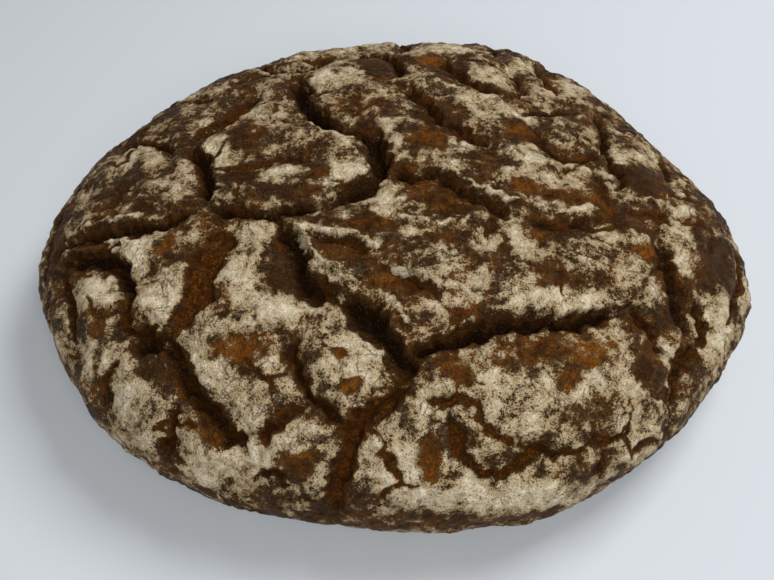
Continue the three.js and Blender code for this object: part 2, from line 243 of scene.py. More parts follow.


# %% [markdown]
# ## The fissures
#
# The tears are what makes this loaf itself, so they are drawn one by one rather than left to noise. Each
# follows a curve through a few points listed on the crust map. Its floor has a half width and a depth,
# in mm. The step says how far the plate on its left, as seen going along the points, rides up over the one
# on its right, or the other way round where it is negative. Rust says how much of the floor is orange-brown
# crumb, rather than painted dark for burnt crust and for painted shade. The last two numbers are the widths
# of its left and right walls: a narrow wall is a cliff, and a wide one is a bare slope.

# %% The large fissures
FISSURES = {
    "back gap": (3.1, 10, 0, 0, 1.6, 2.4,
        [(-50, 78), (-46, 66), (-43, 54), (-39, 43), (-31, 31), (-24, 24)]),
    "keyhole": (2.1, 9.5, -2, 0, 4, 1.6,
        [(-24, 24), (-15, 23), (-9, 17), (-6.5, 8), (-7, -2), (-14, -14), (-30, -24)]),
    "middle left": (0.9, 5, 2, 0.1, 2, 3, [(-82, -20), (-68, -24), (-56, -27), (-43, -26), (-30, -24)]),
    "west drop": (1.7, 8, 0, 0.1, 2, 2,
        [(-97, 27), (-93, 18), (-88, 9), (-85, 0), (-83, -9), (-84, -19)]),
    "middle right": (0.5, 4, 3, 0.1, 2, 2,
        [(-5, -3), (10, -6), (18, -5), (26, -12), (36, -19), (46, -25), (57, -29)]),
    "right lip": (0.5, 3.5, 2, 0.3, 2, 2, [(57, -29), (68, -33), (79, -31), (87, -27), (94, -24)]),
    "centre drop": (0.7, 3, 0, 0.3, 2.2, 2.2, [(44, -25), (43, -34), (41, -44)]),
    "wedge": (1, 7, 2.5, 0.1, 2.4, 9, [(-50, -30), (-42, -42), (-37, -53), (-36, -62), (-24, -71)]),
    "fang": (1.2, 7, 2.5, 0, 2.4, 9, [(-24, -71), (-13, -75), (-6, -82), (1, -92), (5, -100), (6, -108)]),
    "long gap": (1.2, 7, 3.5, 0, 2.8, 2.5,
        [(5, -96), (14, -95), (24, -91), (46, -84), (60, -81), (75, -79), (98, -70)]),
    "front drop": (1.8, 4.5, 0, 0.8, 3, 3,
        [(6, -108), (-5, -118), (-13, -122), (-18, -133), (-22, -145), (-28, -163)]),
    "pillow valley": (0.7, 4, 0, 0.3, 2, 2.5,
        [(-38, -84), (-40, -92), (-39, -100), (-30, -114), (-16, -124)]),
    "pillow foot": (0.6, 2.5, 0, 0.5, 2, 2, [(-58, -132), (-51, -127), (-45, -121), (-31, -114)]),
    "west hook": (0.8, 5, 3.5, 0.1, 1.6, 1.6,
        [(-158, -26), (-145, -24), (-134, -24.5), (-124, -27), (-107, -27), (-86, -22)]),
    "west arch": (1.2, 7, 4, 0, 1.5, 6,
        [(-155, -36), (-137, -35), (-122, -42), (-114, -57), (-113, -75), (-110, -82)]),
    "grain gap": (5, 4.5, 0, 1, 2.5, 2.5, [(-68, -32), (-74, -41), (-79, -52), (-83, -68), (-95, -83)]),
    "south west": (1.4, 6, 0, 0.45, 4.5, 2.5,
        [(-112, -81), (-96, -86), (-89, -97), (-80, -112), (-60, -134)]),
    "knot": (4.2, 8, 0, 0, 3, 3, [(-113, -79), (-105, -84), (-97, -86)]),
    "south west spur": (0.7, 4, 0, 0.3, 1.9, 1.9, [(-83, -113), (-92, -115), (-98, -128), (-101, -137)]),
    "west rim": (0.7, 3.5, 0, 0.3, 2.2, 2.2, [(-156, -38), (-150, -50), (-146, -66), (-147, -78)]),
    "west low": (0.5, 3, 0, 0.3, 1.5, 1.5, [(-118, -86), (-126, -97), (-128, -110)]),
    "north west band": (0.8, 4.5, 0, 0.2, 2.2, 2.2, [(-140, 41), (-122, 38), (-109, 28), (-105, 18)]),
    "north west wide": (2.3, 4, 0, 0.6, 3, 3, [(-98, 29), (-82, 40), (-73, 56), (-70, 67)]),
    "back west": (0.6, 3, 0, 0.2, 2.2, 2.2, [(-108, 82), (-99, 71), (-91, 67)]),
    "back dark": (1.3, 5, 0, 0.4, 2.2, 2.2, [(-82, 82), (-63, 91), (-46, 86), (-33, 105), (-26, 110)]),
    "back keyhole": (1.2, 6, 0, 0.1, 2, 5, [(-24, 107), (-6, 102), (4.5, 88), (3, 72)]),
    "first step": (0.6, 4, 3, 0.2, 2, 2, [(4, 64), (14, 49), (26, 33), (45, 13)]),
    "second step": (0.6, 4, 2.5, 0.4, 2, 2, [(27, 97), (30, 80), (46, 63), (58, 57)]),
    "third step": (0.5, 3, 0, 0.5, 1.9, 1.9, [(61, 89), (65, 70), (60, 56)]),
    "back notch": (1.3, 6, 0, 0.6, 3, 3, [(58, 132), (57, 120), (56, 106)]),
    "orange slot": (1, 3.5, 0, 1, 2.2, 2.2, [(80, 102), (84, 80), (84, 67)]),
    "east drop": (0.8, 7, 0, 0.5, 2.2, 2.2, [(108, 65), (105, 40), (103.5, 24), (106, 6), (105, -5)]),
    "button below": (0.7, 4, 0, 0.6, 1.9, 2.2, [(67, 32), (74, 15), (84, 11), (98, 20), (102, 28)]),
    "button above": (0.7, 4, 0, 0.3, 2.2, 2.2, [(62, 44), (76, 46), (92, 59)]),
    "east band": (0.8, 4, 0, 0.2, 2.2, 2.2, [(139, 41), (137, 24), (134, 9)]),
    "east fall": (1.2, 6, 0, 0.2, 3.5, 5, [(120, -33), (122, -46), (127, -65), (131, -76)]),
    "east rim": (0.8, 5, 0, 0.8, 2.2, 2.2,
        [(136, -53), (138.5, -74), (128, -86), (123.5, -97), (126, -113)]),
    "south east fork": (0.7, 4, 0, 0.5, 2.2, 2.2, [(97, -65), (112, -81), (120, -89)]),
    "front arc": (0.7, 2.5, 1, 0.9, 1.5, 2,
        [(21, -119), (29, -136), (43, -143), (60, -133), (79, -133), (84, -128)]),
    "front steps": (0.5, 2.5, 0, 0.8, 1.5, 1.5, [(83, -119), (86, -128), (98, -124), (101, -117)]),
    "front slot": (0.5, 3, 0, 0.3, 1.5, 1.5, [(90, -131), (91, -141), (97, -149)]),
    "back rim west": (1, 4.5, 0, 0.4, 3, 3,
        [(-138, 84), (-112, 106), (-84, 116), (-52, 133), (-24, 134)]),
    "back rim middle": (1, 4.5, 0, 0.4, 3, 3, [(-24, 134), (4, 141), (30, 137), (57, 142), (84, 126)]),
    "back rim east": (1, 4.5, 0, 0.4, 3, 3, [(112, 112), (124, 92), (143, 70), (152, 48)]),
    "back fall west": (0.8, 4, 0, 0.5, 2.6, 2.6, [(-64, 93), (-71, 108), (-68, 124)]),
    "back fall middle": (0.8, 4, 0, 0.5, 2.6, 2.6, [(2, 104), (9, 120), (3, 139), (9, 158)]),
    "back fall east": (0.8, 4, 0, 0.5, 2.6, 2.6, [(84, 104), (93, 120), (101, 134)]),
    "east rim low": (0.8, 3.5, 0, 0.4, 2.6, 2.6,
        [(158, 34), (170, 8), (172, -18), (166, -44), (158, -66)]),
    "west rim low": (0.8, 3.5, 0, 0.4, 2.6, 2.6, [(-166, 30), (-172, 4), (-170, -22), (-174, -44)]),
}
print(len(FISSURES), "large fissures")

# %% The fine cracks
FINE_CRACKS = {
    "front link": (0.4, 2, 0, 1, 1.2, 1.2,
        [(6, -113), (17, -115), (28, -114), (33, -120), (43, -129.5), (55, -131)]),
    "front left arc": (0.4, 2.5, 0, 0.3, 1.2, 1.5,
        [(-64, -150), (-58, -143), (-51, -141), (-45, -145), (-40, -150)]),
    "front left slot": (0.4, 2.5, 0, 0.3, 1.2, 1.2, [(-70, -139), (-71, -150)]),
    "upper curl": (0.5, 3, 2, 0.5, 1.5, 2.2, [(-36, -40.5), (-23, -44.5), (-16, -47), (-9, -47)]),
    "lower curl": (0.5, 3.5, 3, 0.8, 1.5, 2.2, [(-6, -58), (4, -62), (12, -66), (20, -70)]),
    "inner split": (0.5, 2.5, 0, 0.9, 1.5, 1.9,
        [(-78, 0), (-69, 1), (-59, 2.5), (-54, 6.5), (-42, 6.5), (-33, 5.5)]),
    "amber slot": (0.7, 3, 0, 1, 1.5, 1.5, [(95, 8), (95, -3), (96, -12), (97, -21)]),
    "small slot": (0.6, 2.5, 0, 0.8, 1.5, 1.5, [(78, 10), (78.5, -4)]),
    "brow hollow": (1, 3, 0, 0.8, 2.2, 2.2, [(104, -22), (112, -18), (124, -17), (134, -20)]),
    "button side": (0.4, 1.5, 0, 0.5, 1.2, 1.2, [(90, 48), (91, 39), (96, 32)]),
    "wedge notch": (0.4, 1.5, 0, 0.5, 1.2, 1.2, [(-10.6, -61.4), (-8.7, -67)]),
}
print(len(FINE_CRACKS), "fine cracks")

# %% [markdown]
# ## Measuring from a curve
#
# A fissure is cut by asking, for every crust point, how far it is from the fissure's curve, on which side,
# and how far along. The curve is the smooth one through the points that most drawing programs use, and the
# distance is to its nearest short stretch. Only points near the curve are asked, which keeps it quick.


# %% Curves and distances
def smooth_path(points, step=2.0):
    """A smooth curve through the points, as points about `step` mm apart."""
    points = np.array(points, float)
    padded = np.concatenate([points[:1], points, points[-1:]])
    pieces = []
    for before, start, end, after in zip(padded, padded[1:], padded[2:], padded[3:]):
        count = max(2, int(np.ceil(np.hypot(*(end - start)) / step)))
        part = np.linspace(0, 1, count, endpoint=False)[:, None]
        leave, arrive = (end - before) / 2, (after - start) / 2
        cubic = (2 * (start - end) + leave + arrive) * part**3
        square = (3 * (end - start) - 2 * leave - arrive) * part**2
        pieces.append(cubic + square + leave * part + start)
    return np.concatenate(pieces + [points[-1:]])


def measure_from(points, x, y, reach):
    """For the crust points within reach of a curve: their numbers, distance (left of it is positive), place
    along it in mm from its nearer end, and place along it from its start."""
    path = smooth_path(points)
    low, high = path.min(axis=0) - reach, path.max(axis=0) + reach
    near = np.nonzero((x > low[0]) & (x < high[0]) & (y > low[1]) & (y < high[1]))[0]
    stretch = np.diff(path, axis=0)
    stretch_length = np.hypot(*stretch.T)
    from_start = np.stack([x[near], y[near]], axis=1)[:, None] - path[:-1]
    part = np.clip((from_start * stretch).sum(axis=2) / stretch_length**2, 0, 1)
    distance = np.linalg.norm(from_start - part[..., None] * stretch, axis=2)
    closest = distance.argmin(axis=1)
    row = np.arange(len(near))
    chosen = from_start[row, closest]
    side = np.sign(stretch[closest, 0] * chosen[:, 1] - stretch[closest, 1] * chosen[:, 0])
    travelled = np.concatenate([[0], np.cumsum(stretch_length)])
    along = travelled[closest] + part[row, closest] * stretch_length[closest]
    distance = distance[row, closest]
    kept = distance < reach
    from_end = np.minimum(along, travelled[-1] - along)
    return near[kept], (side * distance)[kept], from_end[kept], along[kept]


def ease(low, high, value):
    """0 below `low`, 1 above `high`, and a smooth rise between."""
    part = np.clip((value - low) / (high - low), 0, 1)
    return part * part * (3 - 2 * part)


# %% [markdown]
# ## Tearing the crust
#
# Dough tears along a ragged line, so the map is first bent a little by noise, and every distance is taken
# on the bent map. A fissure narrows at its ends and varies in width along its length. From its floor each
# wall climbs to the plate: a rounded wall climbs early and levels off, as the side of a pillow does, and
# the wall under a raised plate stays low and then climbs sharply to a crisp edge. Shapes cut out of the
# loaf with a boolean modifier would leave clean, machined walls, so each point gets a depth of its own.
#
# The loop keeps several facts about each point for later. Besides the depth of its tear, they are how much
# it is floor, how much its floor is painted dark for burnt crust and for painted shade, which grows with
# depth, how rusty it is, how far it lies from bare walls and from the plate's edge, and how far its plate is
# lifted or sunk.

# %% Cut the fissures
EDGE_REACH = 30.0  # how far from a fissure its plates still feel it, in mm
END_TAPER = 10.0  # length over which a fissure closes at its end, in mm
CLIFF_POWER = 1.7  # how late the wall under a raised plate climbs
FLOOR_AT_END, WALL_AT_END, DEPTH_AT_END = 0.3, 0.5, 0.25  # what is left of each at a fissure's end
FULL_SHADE_DEPTH = 5.0  # a floor this deep or deeper gets the full painted dark of burn and painted shade, in mm
BARE_WALL = 0.75  # share of a wall that holds no flour
FLOUR_AT_END = 5.0  # how much nearer flour comes at a fissure's end, in mm
LIFT_FADE = 12.0  # distance over which a lifted plate settles back, in mm
bent_x, bent_y = bend(map_x, map_y, [(2.0, 12, 1, 3), (1.8, 5, 2, 4), (0.7, 3.1, 6, 7)])

trough = np.zeros_like(map_x)
rust = np.zeros_like(map_x)
on_floor = np.zeros_like(map_x)
burn_and_depth_shade = np.zeros_like(map_x)
bare_room = np.full_like(map_x, EDGE_REACH)
lift = np.zeros_like(map_x)
plate_room = np.full_like(map_x, EDGE_REACH)
for number, fissure in enumerate([*FISSURES.values(), *FINE_CRACKS.values()]):
    half_width, depth, step, floor_rust, left_wall, right_wall, points = fissure
    near, offset, from_end, along = measure_from(points, bent_x, bent_y, EDGE_REACH)
    distance, side = np.abs(offset), np.sign(offset)
    fade = ease(-END_TAPER / 4, END_TAPER, from_end)

    # Each fissure, and each side of it, reads its own row of the noise.
    wander = 1 + 0.35 * hills(along, 7.0 * number, 12, 5)
    spread = 1 + 0.5 * hills(along, 5.0 * number + side, 17, 8)
    floor = half_width * wander * (FLOOR_AT_END + (1 - FLOOR_AT_END) * fade)
    wall = np.where(offset > 0, left_wall, right_wall) * spread * (WALL_AT_END + (1 - WALL_AT_END) * fade)

    # A narrow wall is well rounded, and a wide one is nearly a straight slope.
    climb = np.clip((distance - floor) / wall, 0, 1)
    roundness = 1 + 7 / (wall + 1.5)
    level = np.where(step * offset > 0, climb**CLIFF_POWER, 1 - (1 - climb) ** roundness)
    cut = depth * (DEPTH_AT_END + (1 - DEPTH_AT_END) * fade) * (1 - level)
    rust[near[cut > trough[near]]] = floor_rust
    trough[near] = np.maximum(trough[near], cut)
    on_floor[near] = np.maximum(on_floor[near], (1 - ease(0, 0.6, climb)) * fade)
    # Painted shade: a fissure's floor is painted dark, for burnt crust and for the shade that falls in it,
    # the more so the deeper it is.
    floor_shade = (1 - ease(0.1, 0.65, climb)) * fade * min(1, depth / FULL_SHADE_DEPTH)
    burn_and_depth_shade[near] = np.maximum(burn_and_depth_shade[near], floor_shade)

    from_bare = distance - floor - BARE_WALL * wall + FLOUR_AT_END * (1 - fade)
    bare_room[near] = np.minimum(bare_room[near], from_bare)
    from_edge = distance - floor - wall
    plate_room[near] = np.minimum(plate_room[near], from_edge)
    away = fade * (1 - ease(0, EDGE_REACH, distance)) * ease(0, 1.5, distance)
    lift[near] += side * step / 2 * np.exp(-np.maximum(from_edge, 0) / LIFT_FADE) * away

plate_room = np.maximum(plate_room, 0)
print("fissures cover %.0f%% of the crust points" % (100 * (trough > 1).mean()))

# %% [markdown]
# ## Lips
#
# Where a plate has lifted, its edge is a thin lip that catches flour and light, and the pale line painted on
# its crest is both flour and a painted highlight. A fissure only cuts down, so each lip is raised apart from
# it, as a ridge along its own short curve. The ridge falls off sharply on the right of the curve, as seen
# going along it, and gently on the left.

# %% Raise the lips
# Each lip: its half width, its rise, both in mm, and the points of its curve.
LIPS = [
    (1.3, 1.9, [(20, 1), (28, -6), (37, -14), (45, -18.5), (52, -20), (59, -19)]),
    (1.1, 1.4, [(68, -28), (77, -26), (84, -21), (93, -17)]),
    (1.1, 1.3, [(102, -16), (109, -10.5), (118, -9.4), (128, -7.6)]),
    (1.1, 1.3, [(-12, 1), (-13, 6), (-20, 14), (-28, 21), (-34, 27), (-40, 33), (-47, 36)]),
    (1.4, 1.7, [(-45, -36), (-32, -39), (-18, -43), (-8, -46), (0, -43)]),
    (1.3, 1.7, [(-44, -38), (-38, -44), (-33, -50), (-28, -57), (-22, -61), (-12, -66)]),
    (1.3, 1.5, [(-8, -57), (0, -60), (10, -63), (18, -66), (28, -69), (38, -77)]),
    (1.1, 1.4, [(-8, -69), (0, -77), (6, -86), (9, -90)]),
    (1.1, 1, [(20, -89), (28, -84), (38, -83)]),
    (1.3, 1.2, [(-1, -30), (10, -33), (20, -36), (30, -33), (38, -30)]),
    (1.3, 1.3, [(-148, -16), (-134, -19), (-120, -21), (-108, -24)]),
    (1.4, 1.4, [(-135, -27), (-124, -31), (-117, -40), (-112, -52)]),
    (1.1, 1.1, [(36, -76), (50, -78), (66, -76), (80, -73), (92, -66)]),
    (1.2, 1, [(70, -43), (80, -49), (88, -56), (92, -63)]),
    (0.9, 1, [(-99, -89), (-95, -96), (-91, -103)]),
]
SHARP_SIDE, GENTLE_SIDE = 0.8, 1.5  # each side's slope over the lip's half width
lip = np.zeros_like(map_x)
for half_width, rise, points in LIPS:
    near, offset, from_end, _ = measure_from(points, bent_x, bent_y, 6 * half_width)
    slope = np.where(offset < 0, SHARP_SIDE, GENTLE_SIDE) * half_width
    ridge = np.exp(-((offset / slope) ** 2)) * ease(-2, 7, from_end)
    lip[near] = np.maximum(lip[near], ridge * rise)
print("highest lip %.1f mm" % lip.max())

# %% [markdown]
# ## Patches of flour and colour
#
# Flour stays where nothing rubbed or steamed it off, so it lies in patches with ragged edges. Noise alone
# would spread it evenly, and a painted picture would be one more file to carry, so it is laid in patches.
# Each is an ellipse on the crust map: its middle, its two half sizes, how far it is turned in degrees, and
# how much flour it holds, from 0 for bare crust to 1 for a solid white dusting. A later patch is laid over
# an earlier one.
#
# Two more lists work the same way for the bare crust's colour. RICH is where it blistered thin and amber,
# and PLUM is where it baked to a dull plum grey.

# %% Where the flour lies
# Each patch: x, y, half length, half width, degrees, value.
FLOUR = [
    # The back plates.
    (-33, 68, 9, 19, 15, 0.92), (-17, 70, 9, 12, 0, 0.85), (-8, 45, 14, 17, 20, 0.4),
    (-2, 23, 4, 12, 30, 0.95), (18, 18, 11, 8, -10, 0.08), (30, 15, 7, 8, 0, 0.95),
    (3, 5, 6, 3, -10, 0.85), (36, 53, 33, 10, -28, 0.8), (32, 63, 13, 4, -20, 0.15),
    (52, 76, 11, 14, 0, 0.85), (20, 92, 9, 8, 0, 0.05), (38, 95, 4, 4, 0, 0.05), (28, 107, 19, 7, 0, 0.9),
    (-8, 84, 9, 14, 10, 0.06), (-34, 101, 4, 9, 0, 0.05), (-12, 118, 30, 8, 0, 0.75),
    (-60, 103, 22, 7, 15, 0.6), (72, 98, 9, 13, 0, 0.8), (94, 84, 8, 18, 0, 0.75),
    # The large plate left of the keyhole.
    (-80, 14, 10, 15, 10, 0.97), (-69, 25, 8, 10, 0, 0.1), (-61, 38, 8, 5, 0, 0.75),
    (-45, 22, 17, 12, -30, 0.55), (-50, -5, 11, 7, -5, 0.97), (-33, -6, 5, 6, 0, 0.12),
    (-21, -9, 7, 11, -10, 0.93), (-48, -17, 18, 4, -5, 0.2), (-77, -6, 4, 3, 0, 0.8),
    (-75, -17, 6, 4, -10, 0.85), (-68, -4, 8, 4, 0, 0.08), (-59, -14, 5, 5, 0, 0.5),
    # The middle.
    (8, -5, 14, 6, -10, 0.03), (12, -14, 12, 6, -20, 0.12), (-1, -20, 4, 10, -15, 0.9),
    (20, -23, 9, 6, 0, 0.1), (-18, -29, 6, 2.5, -10, 0.85), (-12, -36, 9, 5, 0, 0.08),
    (7, -40, 6, 4, -15, 0.9), (20, -43, 9, 3, -10, 0.15), (-24, -50, 13, 6, -20, 0.12),
    (-28, -63, 7, 3, -15, 0.85), (20, -53, 10, 7, -10, 0.75), (4, -53, 6, 5, 0, 0.5),
    (4, -66, 12, 5, -20, 0.1), (18, -77, 5, 7, -20, 0.9), (6, -76, 6, 6, 0, 0.45),
    (38, -47, 7, 5, 0, 0.85), (42, -65, 11, 8, 0, 0.85), (28, -80, 8, 3, 15, 0.12),
    # The plate right of the middle and the big one below it.
    (57, 9, 15, 7, 0, 0.8), (55, -4, 7, 3, 0, 0.85), (58, -12, 9, 4, 0, 0.12),
    (45, -17, 17, 4, -30, 0.04), (75, -15, 16, 4, 5, 0.1), (42, 3, 7, 8, 0, 0.3),
    (54, -48, 10, 9, 0, 0.85), (68, -61, 18, 4, 0, 0.3), (70, -48, 12, 6, -20, 0.55),
    (67, -71, 25, 5, 6, 0.95), (62, -38, 4, 3, 0, 0.05), (84, -55, 5, 10, 30, 0.5),
    # The button plate and the right shoulder.
    (86, 31, 14, 13, 0, 0.6), (86, 7, 7, 5, 0, 0.9), (100, 6, 3, 6, 0, 0.85), (111, 21, 4, 4, 0, 0.9),
    (60, 28, 8, 6, 0, 0.05), (95, -17, 5, 7, 0, 0.05), (105, -34, 13, 4, 0, 0.8),
    (110, -41, 8, 3, 0, 0.08), (110, -63, 6, 4, 0, 0.85), (122, 45, 12, 16, 0, 0.5),
    (118, 3, 14, 9, 0, 0.12), (130, -27, 11, 5, 0, 0.85), (130, -44, 5, 4, 0, 0.85),
    (145, -39, 11, 10, 0, 0.12), (152, -65, 14, 16, 0, 0.95), (170, -40, 8, 34, 0, 0.8),
    # The three pillows and the lobe above them.
    (-54, -42, 4, 8, 0, 0.9), (-63, -60, 10, 17, 10, 0.8), (-44, -55, 7, 12, 10, 0.1),
    (-50, -76, 13, 8, 0, 0.96), (-64, -100, 24, 24, 0, 0.87), (-62, -92, 14, 7, 0, 0.15),
    (-58, -102, 5, 2, 0, 0.1), (-19, -98, 18, 22, 0, 0.85), (-21, -97, 2.5, 2.5, 0, 0.05),
    (-17, -109, 5, 4, 0, 0.1), (-39, -137, 18, 17, 0, 0.87), (-38, -137, 10, 6, 0, 0.2),
    # The front.
    (8, -138, 20, 22, 0, 0.8), (15, -137, 5, 9, 0, 0.1), (45, -122, 16, 17, 0, 0.74),
    (50, -152, 46, 8, 4, 0.97), (66, -105, 56, 17, 10, 0.82), (25, -103, 6, 5, 0, 0.05),
    (60, -93, 42, 7, 12, 0.42), (60, -93, 9, 5, 10, 0.2), (80, -92, 12, 6, 10, 0.25),
    (85, -115, 17, 8, 10, 0.35), (70, -103, 6, 4, 0, 0.1), (107, -92, 8, 12, 0, 0.1),
    (107, -113, 4, 3, 0, 0.1), (108, -121, 17, 13, 10, 0.93), (137, -95, 12, 10, 0, 0.5),
    (15, -166, 62, 8, 0, 0.3),
    # The left.
    (-128, 3, 34, 16, 0, 0.6), (-130, -2, 19, 9, 0, 0.35), (-128, 28, 11, 12, 0, 0.92),
    (-115, 58, 25, 15, 30, 0.5), (-131, -54, 15, 11, 0, 0.93), (-132, -82, 12, 13, 0, 0.88),
    (-130, -72, 5, 6, 0, 0.1), (-97, -45, 10, 18, -10, 0.42), (-97, -66, 9, 14, -30, 0.95),
    (-118, -33, 12, 4, -12, 0.97), (-109, -43, 5, 11, 0, 0.97), (-98, -40, 3, 4, 0, 0.02),
    (-110, -112, 18, 18, 0, 0.93), (-101, -95, 9, 6, -35, 0.1), (-78, -136, 17, 13, 20, 0.93),
    (-163, -5, 8, 26, 0, 0.08), (-73, -122, 7, 8, 0, 0.02),
]
print(len(FLOUR), "patches of flour")

# %% Where the bare crust is amber, and where it is plum grey
RICH = [
    (18, 18, 10, 7, 0, 0.7), (60, 28, 8, 6, 0, 1), (20, 92, 9, 8, 0, 1), (58, -12, 8, 4, 0, 0.8),
    (56, 8, 4, 3, 0, 0.7), (42, -54, 4, 4, 0, 1), (0, -65, 9, 4, -20, 0.8), (25, -103, 7, 6, 0, 0.8),
    (60, -93, 10, 6, 10, 0.9), (80, -92, 13, 7, 10, 1), (48, -97, 26, 6, 12, 0.5),
    (70, -103, 6, 4, 0, 0.7), (-62, -92, 14, 7, 0, 0.8), (-21, -97, 3, 3, 0, 0.8),
    (-17, -109, 5, 4, 0, 0.6), (-38, -137, 10, 7, 0, 0.6), (15, -137, 5, 9, 0, 0.5),
    (95, -17, 5, 8, 0, 1), (110, -39, 6, 4, 0, 1), (-98, -40, 4, 5, 0, 1), (62, -38, 4, 4, 0, 0.9),
    (84, 84, 5, 16, 0, 0.9), (62, 46, 8, 6, 0, 0.6), (103, 55, 5, 14, 0, 0.7), (-3, -34, 4, 8, 0, 0.6),
    (120, -18, 12, 4, 0, 0.7), (48, -38, 4, 4, 0, 0.5), (-80, -120, 10, 12, 0, 0.6),
]
PLUM = [
    (-8, 84, 9, 12, 10, 1), (148, -40, 14, 22, 0, 0.9), (-42, -56, 8, 14, 10, 1), (-8, -90, 9, 16, 40, 1),
    (-30, -78, 14, 6, -30, 1), (-101, -95, 11, 8, -35, 1), (85, -115, 17, 8, 10, 0.7),
    (45, -17, 18, 5, -30, 1), (-122, -48, 11, 6, -30, 0.9), (30, 85, 18, 8, -20, 0.8),
    (-12, 0, 9, 22, -10, 1), (-24, -19, 14, 6, 30, 1), (-82, -101, 7, 20, 32, 1), (-44, 52, 7, 28, 25, 1),
    (-55, -24, 22, 5, 0, 0.8), (118, 3, 14, 9, 0, 0.8), (-62, 55, 8, 12, 0, 0.7),
    (105, 45, 6, 16, 0, 0.6), (62, -87, 44, 4, 10, 0),
]
print(len(RICH), "amber patches,", len(PLUM), "plum patches")

# %% Lay the patches
PATCH_RAGGED = 3.2  # how far noise pushes the edges of the patches, in mm


def lay_patches(field, patches):
    """Lays soft-edged ellipses over a field on the crust, each pulling it to the patch's own value."""
    ragged_x = map_x + PATCH_RAGGED * rough_hills(map_x, map_y, 13, 11)
    ragged_y = map_y + PATCH_RAGGED * rough_hills(map_x, map_y, 13, 12)
    for x, y, half_length, half_width, degrees, value in patches:
        tilt = np.radians(degrees)
        east, north = ragged_x - x, ragged_y - y
        across = (east * np.cos(tilt) + north * np.sin(tilt)) / half_length
        along = (north * np.cos(tilt) - east * np.sin(tilt)) / half_width
        inside = 1 - ease(0.4, 1.4, np.hypot(across, along))
        field += (value - field) * inside
    return field


loose_flour = 0.5 + 0.35 * rough_hills(map_x, map_y, 26, 21) + 0.15 * hills(map_x, map_y, 8, 22)
flour = lay_patches(np.clip(loose_flour, 0.05, 0.95), FLOUR)
rich = lay_patches(np.zeros_like(map_x), RICH)
plum = lay_patches(0.3 + 0.3 * hills(map_x, map_y, 24, 23), PLUM)
print("mean flour %.2f, amber %.2f, plum %.2f" % (flour.mean(), rich.mean(), plum.mean()))

# %% [markdown]
# ## The finished surface
#
# The height of each crust point is now a sum. The plates crown up between the fissures. Broad and narrow
# hills make the skin uneven, and a network of fine cracks splits it. The torn crumb is grainy. A displace
# modifier could move the points too, but only by one texture at a time.
#
# Where a wall is steeper than the points can follow, it would come out with teeth, so the sum is averaged
# once with its neighbours before the grains of crumb are added.


# %% Average the crust with its neighbours
def soften(values):
    """Averages each crust point with its neighbours, so that a steep wall has no teeth."""
    top = values[: grid_side**2].reshape(grid_side, grid_side).copy()
    side = values[grid_side**2 :].reshape(SIDE_RINGS, rim_count)
    beside = top[:-2, 1:-1] + top[2:, 1:-1] + top[1:-1, :-2] + top[1:-1, 2:]
    top[1:-1, 1:-1] = (2 * top[1:-1, 1:-1] + beside) / 6
    side = (2 * side + np.roll(side, 1, axis=1) + np.roll(side, -1, axis=1)) / 4
    return np.concatenate([top.ravel(), side.ravel()])


# %% Skin, cracks and crumb
# Heights are in mm. After the map, each kind of noise takes its size in mm and then a seed.
CROWN_ROOM = 5.5  # distance over which a plate rises from its edge, in mm
plate_crown = PLATE_CROWN * (1 - np.exp(-plate_room / CROWN_ROOM)) - PLATE_CROWN / 2
broad = 1.3 * hills(map_x, map_y, 42, 41) + 1.1 * hills(map_x, map_y, 17, 42)
skin = 0.9 * rough_hills(map_x, map_y, 8, 43, layers=4) + 0.35 * rough_hills(map_x, map_y, 2.6, 44, layers=2)

# A crease runs wherever one set of hills crosses zero, in the places that another set picks.
creases = 1 - ease(0, 0.16, np.abs(hills(map_x, map_y, 11, 45)))
skin -= 0.8 * creases * ease(-0.2, 0.4, hills(map_x, map_y, 23, 46))

net_x, net_y = bend(map_x, map_y, [(5, 16, 51, 53), (1.3, 4, 52, 54)])
_, net_border, _ = cells(net_x, net_y, 25, 55)
net_open = ease(0.0, 0.5, hills(map_x, map_y, 30, 56))
net_crack = net_open * (1 - ease(0.01, 0.05, net_border))

grain_near, _, grain_size = cells(map_x + 0.6 * hills(map_x, map_y, 3, 61), map_y, 3.6, 62)
grains = (0.4 + grain_size) * (1 - np.clip(grain_near * 1.4, 0, 1) ** 2)
in_tear = ease(0.5, 4, trough)
print("%.0f%% of the crust points are torn crumb" % (100 * in_tear.mean()))

# %% [markdown]
# ## Moving the points
#
# Each point is moved straight out from the plain dome by its height. The relief fades out just above the
# base, because the loaf lies flat on the oven floor, and no point may sink below that floor.

# %% Sum the relief
NET_DEPTH = 1.1  # depth of the network of fine cracks, in mm
RELIEF_ENDS = 0.86  # share of the way to the base where the relief starts to fade
relief = plate_crown + broad + skin + lift + lip * (1 - 0.7 * in_tear) - trough - NET_DEPTH * net_crack
relief = soften(relief)
relief += in_tear * (1.5 * grains * (0.3 + 0.7 * on_floor) - 0.5 + 0.9 * rough_hills(map_x, map_y, 6, 63))
relief *= 1 - ease(RELIEF_ENDS, 1, crust_share)
crust_place = on_dome(map_x, map_y) + outward(map_x, map_y) * relief[:, None]
crust_place[:, 2] = np.maximum(crust_place[:, 2], 0)
crust_place[crust_share >= 1, 2] = 0
print("relief from %.1f to %.1f mm" % (relief.min(), relief.max()))

# %% [markdown]
# ## The underside
#
# The crust's faces join neighbours of the square grid, and then each ring below it to the one above. The
# base lay on a floured oven floor, so it is flat and pale. One face across the whole base would close the
# mesh, but it would be cut into long slivers, so rings step inward from the crust's last ring. Far fewer
# points are needed there, so at some rings the number of points halves, with three triangles for every two
# points of the ring outside.

